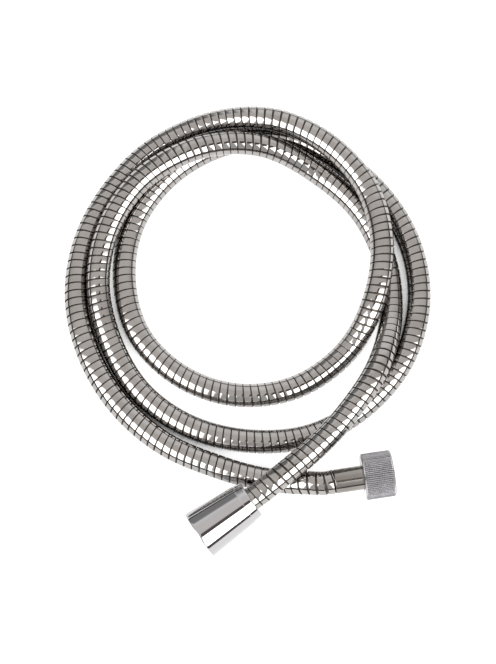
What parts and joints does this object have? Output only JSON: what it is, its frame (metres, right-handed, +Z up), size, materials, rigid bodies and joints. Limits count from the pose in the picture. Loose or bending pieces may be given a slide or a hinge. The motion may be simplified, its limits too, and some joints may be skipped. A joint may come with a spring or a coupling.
{
  "type": "shower_hose",
  "caption": "Flexible spiral-banded steel shower hose in a loose coil, with a conical swivel nut at one end and a knurled swivel nut at the other",
  "frame": {"origin": "on the surface that the coil lies on, under the middle of its outline", "axes": "+Z up from the surface; +Y away from the camera, toward the far side of the coil; +X to the right in the picture"},
  "size_m": [0.213, 0.2669, 0.0304],
  "materials": {
    "polished_steel": "polished",
    "chrome": "mirror",
    "satin_chrome": "satin",
    "brass": "turned",
    "washer_rubber": "matt",
    "tube_plastic": "smooth"
  },
  "bodies": {
    "hose": {"spiral_hose": "polished_steel", "inner_tube": "tube_plastic", "knurled_end_nipple": "brass", "knurled_end_ferrule": "polished_steel", "knurled_end_washer": "washer_rubber", "cone_end_nipple": "brass", "cone_end_ferrule": "polished_steel", "cone_end_washer": "washer_rubber"},
    "cone_nut_body": {"cone_nut": "chrome"},
    "knurled_nut_body": {"knurled_nut": "satin_chrome"}
  },
  "joints": [
    {"name": "cone_nut_swivel", "type": "hinge", "parent": "hose", "child": "cone_nut_body", "pos_m": [-0.0273, -0.1213, 0.01426], "axis": [0.8219, 0.5523, 0.1392], "continuous": true},
    {"name": "knurled_nut_swivel", "type": "hinge", "parent": "hose", "child": "knurled_nut_body", "pos_m": [0.083, -0.085, 0.0133], "axis": [-0.9882, -0.153, 0], "continuous": true}
  ]
}
